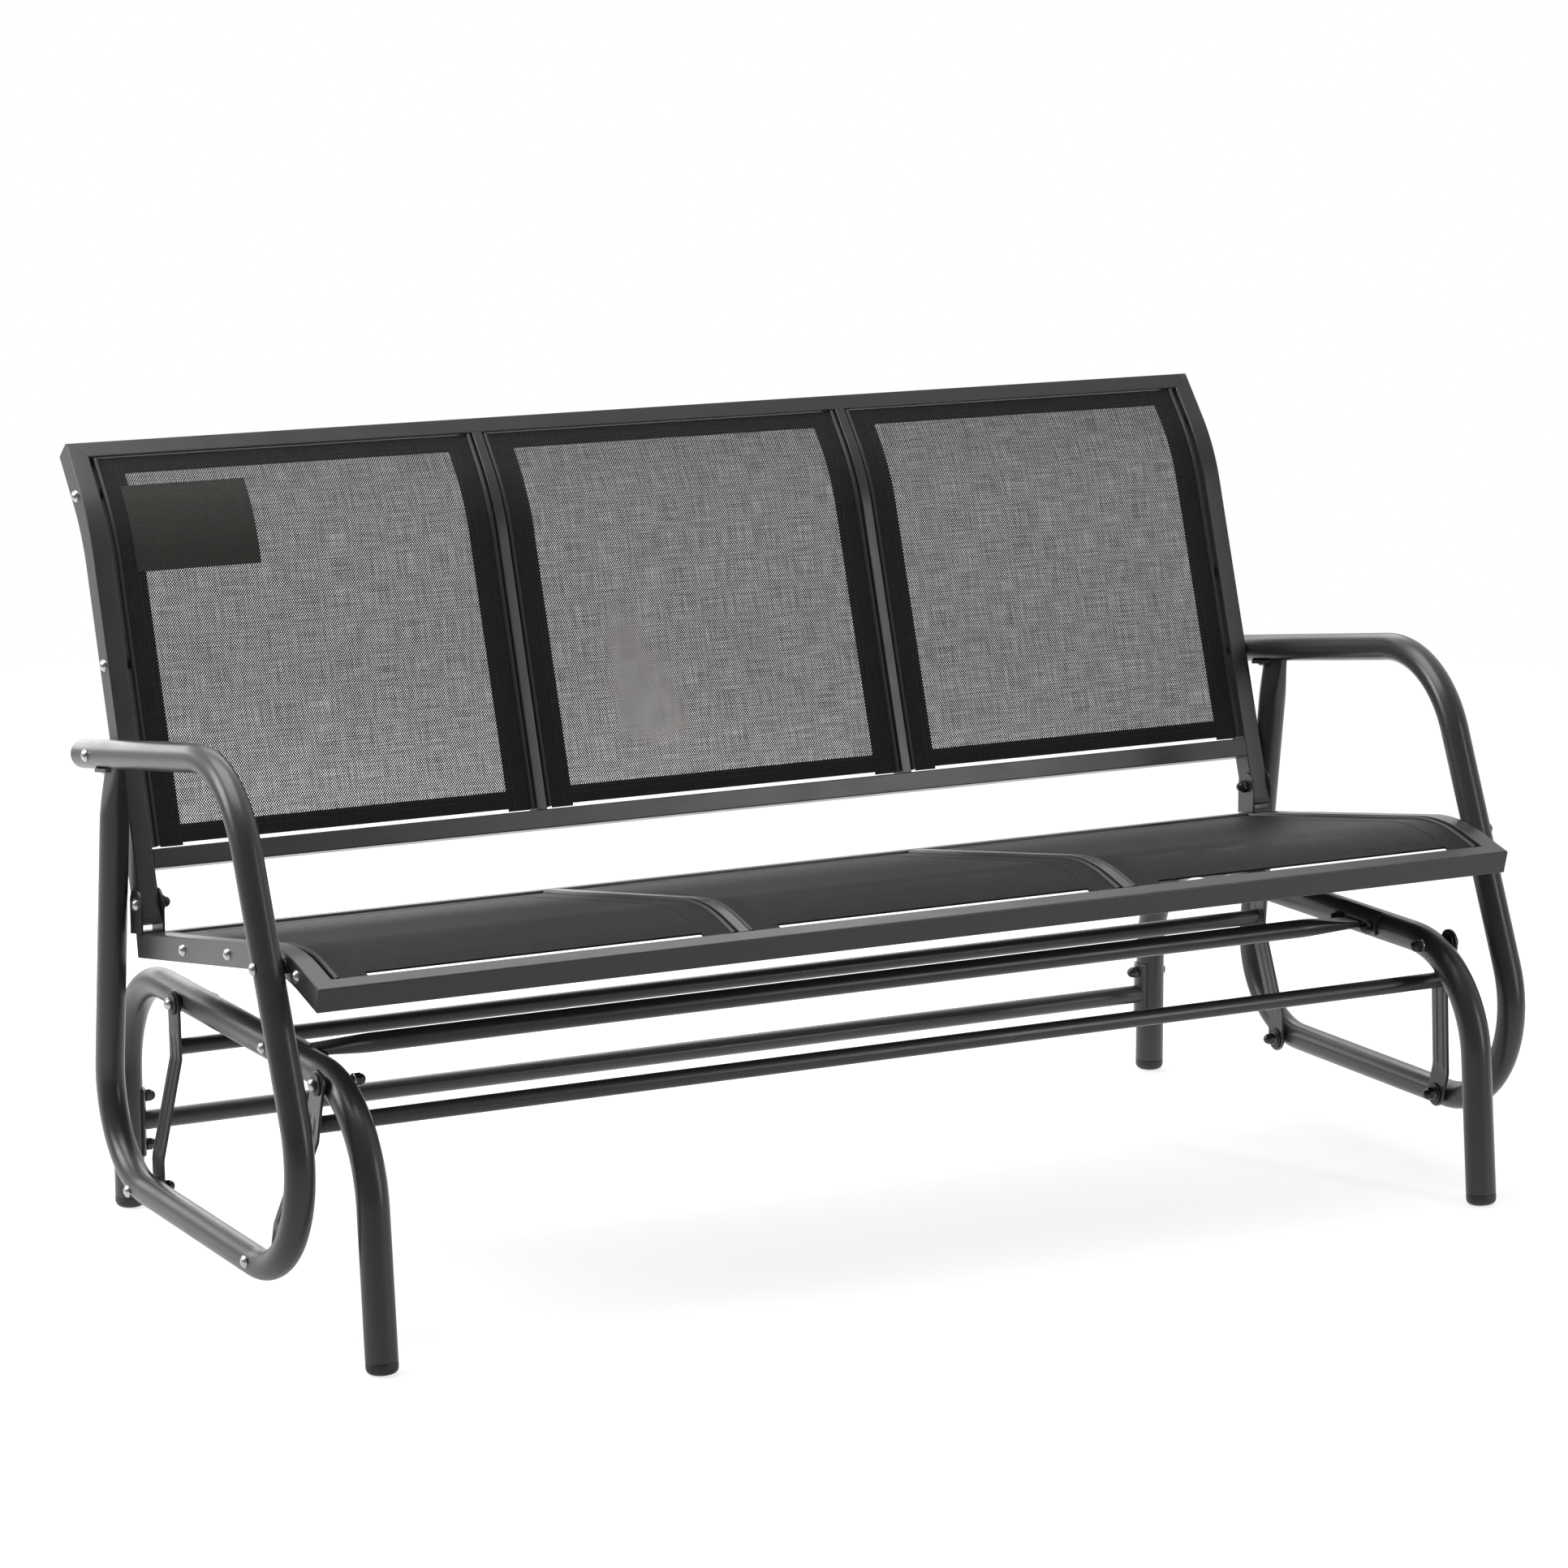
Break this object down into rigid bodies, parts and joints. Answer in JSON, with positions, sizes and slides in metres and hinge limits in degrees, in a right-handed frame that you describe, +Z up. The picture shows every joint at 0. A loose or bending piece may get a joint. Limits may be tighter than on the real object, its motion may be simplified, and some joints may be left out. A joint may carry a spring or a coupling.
{
  "type": "outdoor rocking bench",
  "caption": "Rocking garden bench: a slung seat and back in bent tube arm loops, hung on joggled links from a standing tube base.",
  "frame": {"origin": "middle of the footprint on the floor", "axes": "+X to the right of a viewer who stands in front, +Y to the back of the bench, +Z up"},
  "size_m": [1.521, 0.7621, 0.8656],
  "materials": {
    "frame_steel": "fine textured charcoal powder coat, satin",
    "black_plastic": "moulded black nylon",
    "black_nut": "black coated cap nuts, semi gloss",
    "bright_steel": "bright zinc plate",
    "sling_mesh": "open woven coated sling mesh with folded hems",
    "patch_cloth": "close woven black cloth, bare"
  },
  "bodies": {
    "base": {"base_side_left": "frame_steel", "base_side_right": "frame_steel", "foot_plugs": "black_plastic", "base_front_crossbar": "frame_steel", "base_rear_crossbar": "frame_steel", "front_saddle_plates": "frame_steel", "rear_saddle_plates": "frame_steel", "base_bolts": "bright_steel", "base_cap_nuts": "black_nut", "upper_pivot_bolts": "bright_steel", "upper_pivot_washers": "black_plastic", "upper_pivot_bushes": "black_plastic", "upper_pivot_inner_washers": "bright_steel", "upper_pivot_cap_nuts": "black_nut"},
    "front_swing": {"front_link_left": "frame_steel", "front_link_right": "frame_steel", "front_link_crossbar": "frame_steel"},
    "rear_swing": {"rear_link_left": "frame_steel", "rear_link_right": "frame_steel", "rear_link_crossbar": "frame_steel"},
    "seat": {"arm_loop_left": "frame_steel", "arm_loop_right": "frame_steel", "arm_end_caps": "frame_steel", "arm_joint_screws": "bright_steel", "lower_pivot_bolts": "bright_steel", "lower_pivot_spacers": "black_plastic", "lower_pivot_bushes": "black_plastic", "lower_pivot_inner_washers": "bright_steel", "lower_pivot_cap_nuts": "black_nut", "arm_bolts": "bright_steel", "arm_bolt_spacers": "black_plastic", "seat_front_rail": "frame_steel", "seat_rear_rail": "frame_steel", "seat_side_rail_left": "frame_steel", "seat_side_rail_right": "frame_steel", "seat_dividers": "frame_steel", "seat_sling_bars": "frame_steel", "seat_sling_left": "sling_mesh", "seat_sling_centre": "sling_mesh", "seat_sling_right": "sling_mesh", "back_top_rail": "frame_steel", "back_bottom_rail": "frame_steel", "back_side_rail_left": "frame_steel", "back_side_rail_right": "frame_steel", "back_dividers": "frame_steel", "back_sling_bars": "frame_steel", "back_sling_left": "sling_mesh", "back_sling_centre": "sling_mesh", "back_sling_right": "sling_mesh", "back_patch": "patch_cloth", "back_bracket_left": "frame_steel", "back_bracket_right": "frame_steel", "bracket_bolts": "bright_steel", "bracket_cap_nuts": "black_nut", "rail_end_plugs": "black_plastic", "rail_screws": "bright_steel", "sling_bar_spacers": "black_plastic", "divider_studs": "bright_steel"}
  },
  "joints": [
    {"name": "front_swing", "type": "hinge", "parent": "base", "child": "front_swing", "pos_m": [0, -0.261, 0.28], "axis": [1, 0, 0], "range_deg": [-12, 12]},
    {"name": "rear_swing", "type": "hinge", "parent": "base", "child": "rear_swing", "pos_m": [0, 0.139, 0.28], "axis": [1, 0, 0], "range_deg": [-13, 13]},
    {"name": "seat_pivot", "type": "hinge", "parent": "front_swing", "child": "seat", "pos_m": [0, -0.20587, 0.08775], "axis": [1, 0, 0], "range_deg": [-15, 15]}
  ],
  "couplings": [
    {"joint": "rear_swing", "follows": "front_swing", "ratio": 0.9542},
    {"joint": "seat_pivot", "follows": "front_swing", "ratio": -1.1866}
  ]
}
